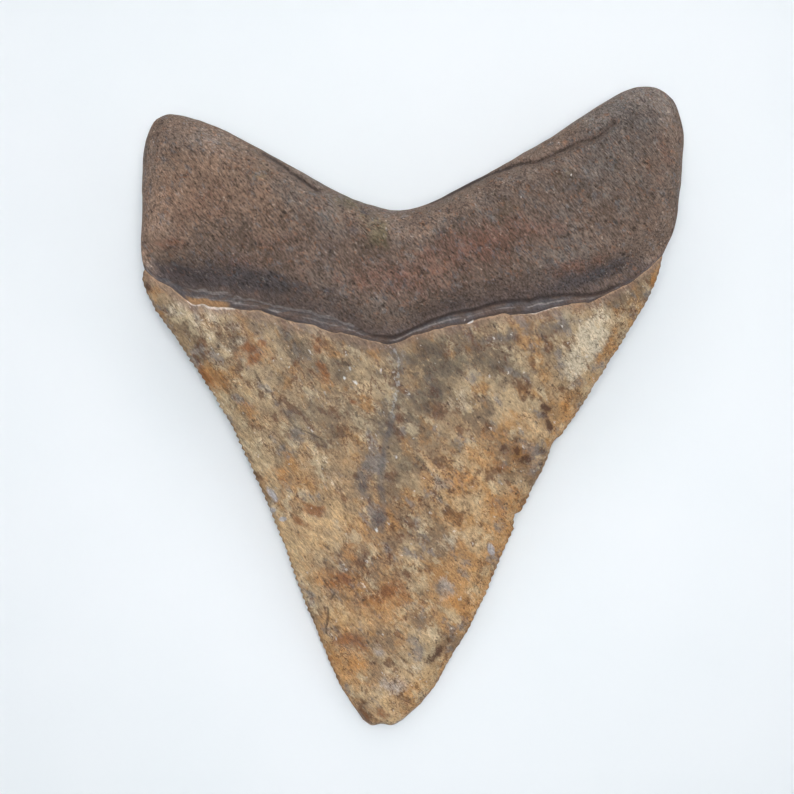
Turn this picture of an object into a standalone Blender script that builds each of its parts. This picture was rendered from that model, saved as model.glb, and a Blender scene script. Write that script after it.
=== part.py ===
"""A fossil megalodon tooth, lying on its tongue side with the lip side up.

+X is the tooth's right as it is looked down on, +Y points from the tip to the
root, and +Z is up. The origin is on the surface the tooth lies on, under the
middle of its bounding box.

The outline is drawn in plan. A tip curve, two cutting edges and the enamel
margin bound the crown; the margin, two short sides and the arched basal edge
bound the root. Each of the two is filled with a grid of points blended from
its four edges, once for the upper face and once for the lower one. The two
faces share the points of the outline, so that together they close the solid.
"""
import bpy
import bmesh
import numpy as np

MM = 0.001

# Driving dimensions, in millimetres.
TOOTH_HEIGHT = 88.2        # from the tip to the top of the taller root lobe
DRAWN_HEIGHT = 88.2        # the height that the outlines below are drawn at
TIP_LEVEL = 1.5            # height of the cutting edges above the ground at the tip
SHOULDER_LEVEL = 12.5      # and where they meet the root
LOBE_LEVEL = 11.2          # mid-height of the rounded rim of the root lobes
SHOULDER_Y = 19.0
TIP_Y = -44.0
CROWN_RISE = (1.0, 3.9)    # how far the lip face bulges above the edges: tip, base
CROWN_SAG = (1.5, 8.2)     # how far the tongue face bulges below them: tip, base
TIP_ROUNDING = 1.6         # length over which the worn tip thickens
ROOT_TOP = 16.8            # highest level of the root's lip face
ROOT_RIM_TOP = 4.8         # how far in from the rim the root rounds over, above
ROOT_RIM_BELOW = 8.0       # and below
LOBE_UNDERSIDE = 5.2       # level of the underside of the lobes
BOSS_DEPTH = 6.6           # how far the boss in the middle reaches below that
BOSS_CENTRE = (-1.5, 15.0)
BOSS_WIDTH = 24.0
BOSS_TOWARDS_CROWN = 20.0
BOSS_TOWARDS_NOTCH = 9.0
NECK_DEPTH = 0.45          # step down from the enamel's lip to the neck
NECK_WIDTH = (0.09, 0.20)  # the neck's share of the root's length: lip face, tongue face
CREASE_DEPTH = 0.55        # folds that run along the basal edge
CREASE_WIDTH = 0.9
SERRATION_HEIGHT = 0.24    # from the bottom to the crest of a serration
SERRATIONS_PER_ROW = 3     # 0.93 mm apart, or about 11 to the centimetre
SERRATED_ROWS = 24

# Outline of the lip face in plan, in millimetres, as x and y.
TIP = [(-6.8, -43.3), (-5.6, -44.1), (-4.2, -43.9), (-2.8, -44.1), (-1.3, -43.3)]
LEFT_EDGE = [
    (-6.8, -43.3), (-9.1, -39.9), (-12.0, -33.6), (-14.9, -26.6), (-17.6, -19.0),
    (-21.0, -10.7), (-24.8, -2.4), (-28.5, 3.9), (-32.7, 10.1), (-36.4, 16.1),
    (-36.8, 17.7), (-36.5, 18.9),
]
RIGHT_EDGE = [
    (-1.3, -43.3), (1.6, -40.6), (5.2, -35.0), (8.4, -29.4), (12.0, -21.1), (13.5, -17.6),
    (15.6, -12.8), (17.9, -8.6), (19.7, -4.9), (22.8, -0.3), (28.0, 8.0), (32.8, 16.2),
    (33.6, 18.4), (34.1, 20.8),
]
LEFT_SIDE = [
    (-36.5, 18.9), (-37.0, 20.6), (-37.1, 22.2), (-36.9, 26.0), (-36.9, 31.5), (-36.7, 34.9),
    (-36.3, 37.0), (-35.8, 38.3), (-35.4, 39.0),
]
RIGHT_SIDE = [
    (34.1, 20.8), (35.8, 24.5), (36.5, 28.9), (37.0, 35.0), (37.1, 37.6), (36.6, 39.9),
    (36.0, 41.4), (35.6, 42.1),
]
BASAL_EDGE = [
    (-35.4, 39.0), (-34.9, 39.5), (-33.6, 40.1), (-32.0, 40.1), (-29.8, 39.6), (-26.8, 38.5),
    (-18.6, 34.2), (-10.3, 29.6), (-6.2, 27.9), (-2.1, 27.0), (2.1, 27.9), (10.3, 32.1),
    (18.5, 36.9), (26.5, 42.0), (28.8, 43.3), (30.2, 43.9), (31.6, 44.1), (33.2, 43.9),
    (34.4, 43.3), (35.2, 42.6), (35.6, 42.1),
]
LIP_MARGIN = [
    (-36.5, 18.9), (-32.7, 16.3), (-30.3, 14.5), (-24.4, 13.7), (-20.7, 13.1), (-12.7, 11.0),
    (-8.6, 10.0), (-3.3, 8.7), (1.8, 10.4), (11.6, 12.5), (21.2, 13.9), (28.8, 16.6),
    (34.1, 20.8),
]
TONGUE_MARGIN = [
    (-36.5, 18.9), (-31.0, 12.8), (-20.0, 6.8), (-9.0, 1.2), (-1.5, -2.2),
    (6.0, 1.8), (17.0, 7.8), (28.0, 14.0), (34.1, 20.8),
]
CREASES = [
    [(-20.4, 34.8), (-17.7, 33.0), (-14.8, 30.8), (-12.6, 29.4)],
    [(2.5, 27.9), (9.4, 31.3), (17.7, 33.8), (22.9, 36.2), (27.6, 38.9)],
]
# Chips out of the right cutting edge: y, depth, and length towards the root and the tip.
CHIPS = [(-4.2, 0.42, 0.3, 3.0), (-14.6, 0.36, 0.3, 2.0), (-33.6, 0.25, 0.9, 0.9)]

# How the grid is divided: fractions across, and from edge to edge.
COLUMNS = 36
CROWN_ROWS = [0.0, 0.006, 0.018] + list(np.linspace(0.04, 1.0, SERRATED_ROWS + 1))
ROOT_ROWS = [
    0.0, 0.012, 0.075, 0.095, 0.13, 0.17, 0.22, 0.28, 0.35, 0.43, 0.51, 0.59,
    0.67, 0.74, 0.80, 0.85, 0.89, 0.925, 0.955, 0.978, 0.993, 1.0,
]
MARGIN_ROW = len(CROWN_ROWS) - 1
TAPER_ROWS = 3             # rows over which the serrations fade at each end
ROW_LENGTH = 20.0          # typical length of a column of the root


def clear_scene():
    for item in list(bpy.data.objects):
        bpy.data.objects.remove(item, do_unlink=True)


def smoothstep(value, low, high):
    """0 up to low, 1 from high on, with a smooth climb between."""
    t = np.clip((value - low) / (high - low), 0.0, 1.0)
    return t * t * (3.0 - 2.0 * t)


def dome(fraction):
    """A quarter circle: 0 at 0, rising steeply and levelling off at 1."""
    return np.sqrt(1.0 - (1.0 - np.clip(fraction, 0.0, 1.0)) ** 2)


def curve_at(points, fractions):
    """Points on a smooth curve through the given ones, at fractions of its length."""
    knots = np.array(points, dtype=float)
    chord = np.concatenate([[0.0], np.cumsum(np.linalg.norm(np.diff(knots, axis=0), axis=1))])
    slope = np.gradient(knots, chord, axis=0)
    t = np.linspace(0.0, chord[-1], 40 * len(knots))
    i = np.clip(np.searchsorted(chord, t, side="right") - 1, 0, len(knots) - 2)
    span = (chord[i + 1] - chord[i])[:, None]
    s = (t - chord[i])[:, None] / span
    dense = (
        (2 * s**3 - 3 * s**2 + 1) * knots[i]
        + (s**3 - 2 * s**2 + s) * span * slope[i]
        + (3 * s**2 - 2 * s**3) * knots[i + 1]
        + (s**3 - s**2) * span * slope[i + 1]
    )
    walked = np.concatenate([[0.0], np.cumsum(np.linalg.norm(np.diff(dense, axis=0), axis=1))])
    walked /= walked[-1]
    return np.stack([np.interp(fractions, walked, dense[:, k]) for k in (0, 1)], axis=-1)


def blended_grid(near, far, left, right, across, along):
    """A grid filled in from its four edges, as rows of plan points."""
    u = across[None, :, None]
    v = along[:, None, None]
    near_row = curve_at(near, across)[None]
    far_row = curve_at(far, across)[None]
    ruled = (1 - v) * near_row + v * far_row
    ruled = ruled + (1 - u) * curve_at(left, along)[:, None] + u * curve_at(right, along)[:, None]
    near_corners = (1 - u) * near_row[:, :1] + u * near_row[:, -1:]
    far_corners = (1 - u) * far_row[:, :1] + u * far_row[:, -1:]
    return ruled - (1 - v) * near_corners - v * far_corners


def distance_to(path, plan):
    """Shortest distance in plan from each point to a path's points."""
    gap = plan[..., None, :] - path
    return np.sqrt((gap**2).sum(axis=-1)).min(axis=-1)


def rim_level(y):
    """Height of the outline: rising along the crown, sinking slightly at the lobes."""
    climb = (SHOULDER_LEVEL - TIP_LEVEL) / (SHOULDER_Y - TIP_Y)
    crown = TIP_LEVEL + climb * (np.minimum(y, SHOULDER_Y) - TIP_Y)
    return crown - (SHOULDER_LEVEL - LOBE_LEVEL) * smoothstep(y, SHOULDER_Y, SHOULDER_Y + 15.0)


def lens(across, power):
    """The swell between two cutting edges: 0 at both, 1 half way."""
    return 1.0 - np.abs(2.0 * across - 1.0) ** power


def crown_heights(plan, across, along, side):
    """Side is +1 for the lip face and -1 for the tongue face."""
    low, high = CROWN_RISE if side > 0 else CROWN_SAG
    swell = low + (high - low) * along[:, None]
    swell = swell * dome(along[:, None] * ROW_LENGTH * 3.5 / TIP_ROUNDING)
    return rim_level(plan[..., 1]) + side * swell * lens(across, 2.4 if side > 0 else 2.0)[None, :]


def root_heights(plan, side):
    """A face that rounds over at the rim: folded above, with a boss below."""
    x, y = plan[..., 0], plan[..., 1]
    fine = np.linspace(0.0, 1.0, 160)
    rim = np.concatenate([curve_at(edge, fine) for edge in (LEFT_SIDE, BASAL_EDGE, RIGHT_SIDE)])
    inward = distance_to(rim, plan)
    level = rim_level(y)
    if side > 0:
        face = ROOT_TOP - 0.0045 * (y - 24.0) ** 2 - 0.0008 * x**2
        height = level + (face - level) * dome(inward / ROOT_RIM_TOP)
        for crease in CREASES:
            away = distance_to(curve_at(crease, fine), plan)
            height = height - CREASE_DEPTH * np.exp(-((away / CREASE_WIDTH) ** 2))
        return height
    reach = np.where(y < BOSS_CENTRE[1], BOSS_TOWARDS_CROWN, BOSS_TOWARDS_NOTCH)
    offset = ((x - BOSS_CENTRE[0]) / BOSS_WIDTH) ** 2 + ((y - BOSS_CENTRE[1]) / reach) ** 2
    face = LOBE_UNDERSIDE - BOSS_DEPTH * np.exp(-offset)
    return level + (face - level) * dome(inward / ROOT_RIM_BELOW)


def make_face(side):
    """All rows of one face, from the tip to the basal edge, as x, y and z."""
    even = np.linspace(0.0, 1.0, COLUMNS + 1)
    across = 0.5 * even + 0.25 * (1.0 - np.cos(np.pi * even))
    crown_rows = np.array(CROWN_ROWS)
    root_rows = np.array(ROOT_ROWS)
    margin = LIP_MARGIN if side > 0 else TONGUE_MARGIN
    crown = blended_grid(TIP, margin, LEFT_EDGE, RIGHT_EDGE, across, crown_rows)
    root = blended_grid(margin, BASAL_EDGE, LEFT_SIDE, RIGHT_SIDE, across, root_rows)
    crown_z = crown_heights(crown, across, crown_rows, side)
    climb = smoothstep(root_rows[:, None] * ROW_LENGTH, 1.6, 6.0)
    root_z = (1 - climb) * crown_z[-1][None, :] + climb * root_heights(root, side)
    neck_ends = NECK_WIDTH[int(side < 0)] * lens(across, 4.0)[None, :]
    in_neck = (root_rows[:, None] > 0.0) & (root_rows[:, None] < neck_ends)
    root_z = root_z - side * NECK_DEPTH * in_neck * lens(across, 6.0)[None, :]
    plan = np.concatenate([crown, root[1:]])
    height = np.concatenate([crown_z, root_z[1:]])
    rim = np.zeros(height.shape, dtype=bool)
    rim[0, :] = rim[-1, :] = True
    rim[:, 0] = rim[:, -1] = True
    height = np.where(rim, rim_level(plan[..., 1]), height)
    if side < 0:
        height = np.maximum(height, 0.0)
    return np.concatenate([plan, height[..., None]], axis=-1)


def chip_depth(y):
    """How far the chips set the right edge back at a height on the crown."""
    depth = 0.0
    for notch, deep, above, below in CHIPS:
        length = above if y > notch else below
        depth += deep * max(0.0, 1.0 - abs(y - notch) / length)
    return depth


def cut_serrations(bm, edges_with_side):
    """Divide the cutting edges and set their points in and out by turns.

    Each point of an edge carries its place, counted in half serrations from the
    tip, and the side it faces. Both are interpolated when the edges are divided.
    """
    place = bm.verts.layers.float["place"]
    facing = bm.verts.layers.float["facing"]
    pieces = 2 * SERRATIONS_PER_ROW
    cut = []
    for edge_verts, outward in edges_with_side:
        for row, vert in enumerate(edge_verts):
            vert[place] = row * pieces
            vert[facing] = outward
        cut += [bm.edges.get(pair) for pair in zip(edge_verts, edge_verts[1:])]
    bmesh.ops.subdivide_edges(bm, edges=cut, cuts=pieces - 1)
    last = SERRATED_ROWS * pieces
    for vert in bm.verts:
        step = round(vert[place])
        if vert[facing] == 0.0 or step in (0, last):
            continue
        from_end = min(step, last - step) / (pieces * TAPER_ROWS)
        height = SERRATION_HEIGHT * min(1.0, 0.35 + from_end)
        outward = round(vert[facing])
        vert.co.x += outward * height * (0.5 if step % 2 else -0.5)
        if outward > 0:
            vert.co.x -= chip_depth(vert.co.y)


def build_tooth():
    bm = bmesh.new()
    bm.verts.layers.float.new("place")
    bm.verts.layers.float.new("facing")
    upper, lower = make_face(+1), make_face(-1)
    rows, columns = upper.shape[:2]
    top = [[bm.verts.new(point) for point in row] for row in upper]
    bottom = []
    for r in range(rows):
        line = []
        for c in range(columns):
            on_rim = r in (0, rows - 1) or c in (0, columns - 1)
            line.append(top[r][c] if on_rim else bm.verts.new(lower[r][c]))
        bottom.append(line)
    for r in range(rows - 1):
        for c in range(columns - 1):
            over = bm.faces.new((top[r][c], top[r][c + 1], top[r + 1][c + 1], top[r + 1][c]))
            under = bm.faces.new(
                (bottom[r][c], bottom[r + 1][c], bottom[r + 1][c + 1], bottom[r][c + 1])
            )
            over.material_index = under.material_index = int(r >= MARGIN_ROW)
    serrated = range(MARGIN_ROW - SERRATED_ROWS, MARGIN_ROW + 1)
    left_edge = [top[r][0] for r in serrated]
    right_edge = [top[r][-1] for r in serrated]
    cut_serrations(bm, [(left_edge, -1.0), (right_edge, 1.0)])
    bmesh.ops.triangulate(bm, faces=bm.faces, quad_method="SHORT_EDGE", ngon_method="BEAUTY")
    return bm


def centre_and_scale(bm):
    """Put the middle of the bounding box over the origin, at real size in metres."""
    points = np.array([vert.co[:] for vert in bm.verts])
    middle = 0.5 * (points.min(axis=0) + points.max(axis=0))
    size = MM * TOOTH_HEIGHT / DRAWN_HEIGHT
    for vert in bm.verts:
        vert.co.x = (vert.co.x - middle[0]) * size
        vert.co.y = (vert.co.y - middle[1]) * size
        vert.co.z *= size


def material(name, colour, roughness):
    finish = bpy.data.materials.new(name)
    finish.use_nodes = True
    shader = finish.node_tree.nodes["Principled BSDF"]
    shader.inputs["Base Color"].default_value = (*colour, 1.0)
    shader.inputs["Roughness"].default_value = roughness
    shader.inputs["Metallic"].default_value = 0.0
    return finish


def main():
    clear_scene()
    bm = build_tooth()
    centre_and_scale(bm)
    mesh = bpy.data.meshes.new("tooth")
    bm.to_mesh(mesh)
    bm.free()
    mesh.materials.append(material("fossil_enamel", (0.31, 0.22, 0.13), 0.45))
    mesh.materials.append(material("fossil_root", (0.16, 0.11, 0.08), 0.75))
    mesh.shade_smooth()
    mesh.set_sharp_from_angle(angle=np.radians(35.0))
    tooth = bpy.data.objects.new("tooth", mesh)
    bpy.context.scene.collection.objects.link(tooth)


main()
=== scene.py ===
# %% [markdown]
# # A fossil megalodon tooth
# The object is one piece of nature: a root of porous bone-like dentine and a
# crown with a skin of enamel, both stained by millions of years in sediment.
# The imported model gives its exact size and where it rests. This file builds a
# finer surface of the same shape, finishes it, and lights it on a pale table.

import bpy
import mathutils
import numpy as np
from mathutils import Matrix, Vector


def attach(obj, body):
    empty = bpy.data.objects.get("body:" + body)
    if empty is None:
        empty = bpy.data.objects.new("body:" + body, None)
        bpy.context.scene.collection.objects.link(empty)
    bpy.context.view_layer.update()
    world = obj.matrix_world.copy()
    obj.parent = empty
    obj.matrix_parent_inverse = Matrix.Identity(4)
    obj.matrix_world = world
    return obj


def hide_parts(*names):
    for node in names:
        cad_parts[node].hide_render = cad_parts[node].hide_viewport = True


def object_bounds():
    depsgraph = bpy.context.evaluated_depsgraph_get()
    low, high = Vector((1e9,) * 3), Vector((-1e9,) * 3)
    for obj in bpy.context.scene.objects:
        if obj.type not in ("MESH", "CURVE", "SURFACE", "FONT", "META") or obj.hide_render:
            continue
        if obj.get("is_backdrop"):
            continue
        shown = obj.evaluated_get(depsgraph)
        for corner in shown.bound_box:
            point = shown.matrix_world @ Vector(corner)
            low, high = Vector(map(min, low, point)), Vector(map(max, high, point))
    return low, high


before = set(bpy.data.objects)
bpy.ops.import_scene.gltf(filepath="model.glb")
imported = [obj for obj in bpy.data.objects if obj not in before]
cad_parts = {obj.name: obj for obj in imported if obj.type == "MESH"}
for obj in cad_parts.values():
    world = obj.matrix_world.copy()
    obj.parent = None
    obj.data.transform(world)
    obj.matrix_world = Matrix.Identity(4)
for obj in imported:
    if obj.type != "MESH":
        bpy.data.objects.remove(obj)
cad_low, cad_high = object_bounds()
MM = 0.001
print("packed model, mm:", [round(1000 * (b - a), 1) for a, b in zip(cad_low, cad_high)])

# %% [markdown]
# ## Curves through a few points
# A tooth has no straight line in its outline, but it needs few points to draw.
# A Catmull-Rom curve passes through each given point and leaves it parallel to
# the line between its neighbours, so it needs no handles to be set by hand.

# %% Curves and small shaping functions


def curve_at(points, fractions):
    """Points at fractions of the length of a smooth curve through the given ones.

    Between two knots the curve is a cubic: the knots weighted by Hermite's
    polynomials, plus the slopes at them, which come from their neighbours.
    """
    knots = np.array(points, dtype=float)
    chord = np.concatenate([[0.0], np.cumsum(np.linalg.norm(np.diff(knots, axis=0), axis=1))])
    slope = np.gradient(knots, chord, axis=0)
    t = np.linspace(0.0, chord[-1], 80 * len(knots))
    i = np.clip(np.searchsorted(chord, t, side="right") - 1, 0, len(knots) - 2)
    span = (chord[i + 1] - chord[i])[:, None]
    s = (t - chord[i])[:, None] / span
    dense = (
        (2 * s**3 - 3 * s**2 + 1) * knots[i]
        + (s**3 - 2 * s**2 + s) * span * slope[i]
        + (3 * s**2 - 2 * s**3) * knots[i + 1]
        + (s**3 - s**2) * span * slope[i + 1]
    )
    walked = np.concatenate([[0.0], np.cumsum(np.linalg.norm(np.diff(dense, axis=0), axis=1))])
    walked /= walked[-1]
    return np.stack([np.interp(fractions, walked, dense[:, k]) for k in (0, 1)], axis=-1)


def smoothstep(value, low, high):
    """0 up to low, 1 from high on, with a cubic climb between."""
    t = np.clip((value - low) / (high - low), 0.0, 1.0)
    return t * t * (3.0 - 2.0 * t)


def dome(fraction):
    """A quarter circle: the root of 1 - (1 - f) squared, from 0 to 1."""
    return np.sqrt(1.0 - (1.0 - np.clip(fraction, 0.0, 1.0)) ** 2)


def lens(across, power):
    """The swell between two edges: 1 - |2u - 1| to a power, 0 at both, 1 half way."""
    return 1.0 - np.abs(2.0 * across - 1.0) ** power


def bell(distance, width):
    """A smooth bump of height 1 and the given half width."""
    return np.exp(-((distance / width) ** 2))


# %% [markdown]
# ## The outline
# Seen from above the tooth is a crown, bounded by two cutting edges, and an
# arched root. The line between them, where the enamel ends, is the V that
# every shark tooth has. All places are in millimetres. They follow the packed
# solid's own outline to within 0.3 mm, so the surface lands on it, and the
# enamel's margin and the creases have a few more points.

# %% Outline, in millimetres
TIP = [(-6.8, -43.3), (-5.6, -44.1), (-4.2, -43.9), (-2.8, -44.1), (-1.3, -43.3)]
LEFT_EDGE = [
    (-6.8, -43.3), (-9.1, -39.9), (-12.0, -33.6), (-14.9, -26.6), (-17.6, -19.0),
    (-21.0, -10.7), (-24.8, -2.4), (-28.5, 3.9), (-32.7, 10.1), (-36.4, 16.1),
    (-36.8, 17.7), (-36.5, 18.9),
]
RIGHT_EDGE = [
    (-1.3, -43.3), (1.6, -40.6), (5.2, -35.0), (8.4, -29.4), (12.0, -21.1), (13.5, -17.6),
    (15.6, -12.8), (17.9, -8.6), (19.7, -4.9), (22.8, -0.3), (28.0, 8.0), (32.8, 16.2),
    (33.6, 18.4), (34.1, 20.8),
]
LEFT_SIDE = [
    (-36.5, 18.9), (-37.0, 20.6), (-37.1, 22.2), (-36.9, 26.0), (-36.9, 31.5), (-36.7, 34.9),
    (-36.3, 37.0), (-35.8, 38.3), (-35.4, 39.0),
]
RIGHT_SIDE = [
    (34.1, 20.8), (35.8, 24.5), (36.5, 28.9), (37.0, 35.0), (37.1, 37.6), (36.6, 39.9),
    (36.0, 41.4), (35.6, 42.1),
]
BASAL_EDGE = [
    (-35.4, 39.0), (-34.9, 39.5), (-33.6, 40.1), (-32.0, 40.1), (-29.8, 39.6), (-26.8, 38.5),
    (-18.6, 34.2), (-10.3, 29.6), (-6.2, 27.9), (-2.1, 27.0), (2.1, 27.9), (6.2, 30.0),
    (10.3, 32.1), (18.5, 36.6), (26.5, 41.8), (28.8, 43.1), (30.2, 43.6), (31.6, 43.8),
    (33.2, 43.7), (34.4, 43.2), (35.2, 42.5), (35.6, 42.1),
]
LIP_MARGIN = [
    (-36.5, 18.9), (-35.0, 17.6), (-32.7, 16.3), (-30.3, 14.5), (-27.6, 13.9), (-24.4, 13.7),
    (-20.7, 13.1), (-16.8, 11.9), (-12.7, 11.0), (-8.6, 10.0), (-3.3, 8.8), (-1.7, 9.1),
    (1.8, 10.5), (6.2, 11.4), (11.6, 12.5), (16.8, 13.1), (21.2, 13.9), (25.9, 15.1),
    (28.8, 16.6), (31.4, 18.4), (34.1, 20.8),
]
TONGUE_MARGIN = [
    (-36.5, 18.9), (-31.0, 12.8), (-20.0, 6.8), (-9.0, 1.2), (-1.5, -2.2),
    (6.0, 1.8), (17.0, 7.8), (28.0, 14.0), (34.1, 20.8),
]
CREASES = [
    [(-20.4, 34.8), (-19.2, 34.1), (-17.7, 33.0), (-16.2, 31.8), (-14.8, 30.8), (-12.6, 29.4)],
    [
        (2.5, 27.9), (5.9, 29.7), (9.4, 31.3), (13.8, 33.0), (17.7, 33.8), (19.8, 34.7),
        (22.9, 36.2), (24.6, 36.6), (27.6, 38.9),
    ],
]

# %% [markdown]
# ## Filling the outline with a grid
# A patch with four curved edges is filled by Coons' rule: blend the two long
# edges, blend the two short ones, add both, and take away the flat patch
# through the corners that has then been counted twice. Rows run across the
# tooth, so the serrations and the enamel's margin each lie along grid lines.
# There are 72 serrations along each cutting edge, with four rows to each.

# %% Grid
SERRATIONS = 72
SERRATED_FROM = 0.04
COLUMNS = 160
TIP_ROWS = [0.0, 0.001, 0.003, 0.006, 0.010, 0.015, 0.021, 0.027, 0.033]
ROOT_ROW_COUNT = 84


def blended_grid(near, far, left, right, across, along):
    """Coons patch: both pairs of edges blended linearly, less the blended corners."""
    u = across[None, :, None]
    v = along[:, None, None]
    near_row = curve_at(near, across)[None]
    far_row = curve_at(far, across)[None]
    ruled = (1 - v) * near_row + v * far_row
    ruled = ruled + (1 - u) * curve_at(left, along)[:, None] + u * curve_at(right, along)[:, None]
    near_corners = (1 - u) * near_row[:, :1] + u * near_row[:, -1:]
    far_corners = (1 - u) * far_row[:, :1] + u * far_row[:, -1:]
    return ruled - (1 - v) * near_corners - v * far_corners


even = np.linspace(0.0, 1.0, COLUMNS + 1)
across = 0.5 * even + 0.25 * (1.0 - np.cos(np.pi * even))
crown_rows = np.concatenate([TIP_ROWS, np.linspace(SERRATED_FROM, 1.0, 4 * SERRATIONS + 1)])
even = np.linspace(0.0, 1.0, ROOT_ROW_COUNT + 1)
root_rows = 0.6 * even + 0.2 * (1.0 - np.cos(np.pi * even))
margin_row = len(crown_rows) - 1
print("rows:", len(crown_rows), "on the crown and", len(root_rows), "on the root")

# %% [markdown]
# ## Noise for worn, uneven surfaces
# Nothing here is flat: burial pits the root and ripples the enamel. Value
# noise is enough for it. Each corner of a cubic lattice gets a number from a
# hash of its place, and a point between takes a smooth blend of its eight
# corners. The hash is fixed, so the surface is the same each time it is made.

# %% Value noise


def lattice_value(ix, iy, iz, seed):
    """A number from -1 to 1 for each lattice corner, by multiplying and folding bits."""
    h = ix * 374761393 + iy * 668265263 + iz * 1274126177 + seed * 2246822519
    h = h & 0xFFFFFFFF
    h = ((h ^ (h >> 13)) * 1103515245) & 0xFFFFFFFF
    h = ((h ^ (h >> 15)) * 2654435761) & 0xFFFFFFFF
    return (h ^ (h >> 16)) / 2147483647.5 - 1.0


def noise(points, size, seed, octaves=1):
    """Value noise of the given lattice size in mm, with finer octaves at half strength."""
    total = np.zeros(points.shape[:-1])
    strength = 1.0
    for octave in range(octaves):
        place = points / size * 2.0**octave + 37.0 * octave
        cell = np.floor(place).astype(np.int64)
        f = place - cell
        f = f * f * (3.0 - 2.0 * f)
        value = np.zeros(points.shape[:-1])
        for corner in range(8):
            dx, dy, dz = corner & 1, (corner >> 1) & 1, (corner >> 2) & 1
            weight = np.where(dx, f[..., 0], 1 - f[..., 0])
            weight = weight * np.where(dy, f[..., 1], 1 - f[..., 1])
            weight = weight * np.where(dz, f[..., 2], 1 - f[..., 2])
            ix, iy, iz = cell[..., 0] + dx, cell[..., 1] + dy, cell[..., 2] + dz
            value += weight * lattice_value(ix, iy, iz, seed + octave)
        total += strength * value
        strength *= 0.5
    return total


# %% [markdown]
# ## Heights
# The tooth lies on its tongue side. Its cutting edges climb from the tip to
# the shoulders, and the lip face swells a little above them, the tongue face
# more below. The root is a rounded slab with a boss underneath, on whose worn
# flat it rests. Between root and enamel runs a smooth dark neck, set lower
# than both, and two folds follow the basal edge.

# %% Height functions
TIP_LEVEL, SHOULDER_LEVEL, LOBE_LEVEL = 1.5, 12.5, 11.2
TIP_Y, SHOULDER_Y = -44.0, 19.0
CROWN_RISE, CROWN_SAG = (1.0, 3.9), (1.5, 8.2)
TIP_ROUNDING = 1.6
ROOT_TOP, LOBE_UNDERSIDE, BOSS_DEPTH = 16.8, 5.2, 6.6
ROOT_RIM_TOP, ROOT_RIM_BELOW = 4.8, 8.0
BOSS_CENTRE, BOSS_WIDTH, BOSS_TOWARDS_CROWN, BOSS_TOWARDS_NOTCH = (-1.5, 15.0), 24.0, 20.0, 9.0
ROOT_LENGTH, CROWN_LENGTH = 20.0, 70.0
NECK_DEPTH = 0.45
# The neck's width on the lip face, as pairs of x and width.
NECK_WIDTHS = [
    (-36, 0.2), (-31, 1.6), (-27.6, 2.2), (-24, 1.5), (-19, 1.6), (-14, 2.0), (-10, 1.7),
    (-6, 0.9), (-3, 1.0), (1, 1.3), (6, 1.9), (17, 2.0), (21, 1.7), (25, 0.8), (34, 0.2),
]
TONGUE_NECK = 5.6          # its width in the middle of the tongue face
CREASE_DEPTH, CREASE_WIDTH = 0.80, 0.50
FAR = 9.0                  # stands for any distance past the reach of a mark


def rim_level(y):
    """Height of the outline: a straight climb up the crown, then a dip to the lobes."""
    climb = (SHOULDER_LEVEL - TIP_LEVEL) / (SHOULDER_Y - TIP_Y)
    crown = TIP_LEVEL + climb * (np.minimum(y, SHOULDER_Y) - TIP_Y)
    return crown - (SHOULDER_LEVEL - LOBE_LEVEL) * smoothstep(y, SHOULDER_Y, SHOULDER_Y + 15.0)


def distance_to(path, plan):
    """Shortest distance in plan from each point to the points of a path, row by row."""
    rows = [np.sqrt(((row[:, None] - path[None]) ** 2).sum(-1)).min(-1) for row in plan]
    return np.array(rows)


def crown_heights(plan, side):
    """Edge level plus the lens-shaped swell, thickening by a quarter circle at the tip."""
    low, high = CROWN_RISE if side > 0 else CROWN_SAG
    swell = low + (high - low) * crown_rows[:, None]
    swell = swell * dome(crown_rows[:, None] * CROWN_LENGTH / TIP_ROUNDING)
    return rim_level(plan[..., 1]) + side * swell * lens(across, 2.4 if side > 0 else 2.0)[None, :]


fine = np.linspace(0.0, 1.0, 200)
root_rim = np.concatenate([curve_at(edge, fine) for edge in (LEFT_SIDE, BASAL_EDGE, RIGHT_SIDE)])


def root_heights(plan, inward, side):
    """A slab rounded over at its rim by a quarter circle, folded above, bossed below."""
    x, y = plan[..., 0], plan[..., 1]
    level = rim_level(y)
    if side > 0:
        face = ROOT_TOP - 0.0045 * (y - 24.0) ** 2 - 0.0008 * x**2
        height = level + (face - level) * dome(inward / ROOT_RIM_TOP)
        for crease in CREASES:
            away = distance_to(curve_at(crease, fine), plan)
            height = height - CREASE_DEPTH * bell(away, CREASE_WIDTH)
        return height
    reach = np.where(y < BOSS_CENTRE[1], BOSS_TOWARDS_CROWN, BOSS_TOWARDS_NOTCH)
    offset = ((x - BOSS_CENTRE[0]) / BOSS_WIDTH) ** 2 + ((y - BOSS_CENTRE[1]) / reach) ** 2
    face = LOBE_UNDERSIDE - BOSS_DEPTH * np.exp(-offset)
    return level + (face - level) * dome(inward / ROOT_RIM_BELOW)


# %% [markdown]
# ## One face of the tooth
# Each face is a stack of rows from the tip to the basal edge. With the place
# of each point come its distances from the enamel's margin, from the cutting
# edge and from the root's rim, which the finishes use later.

# %% Faces


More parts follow.
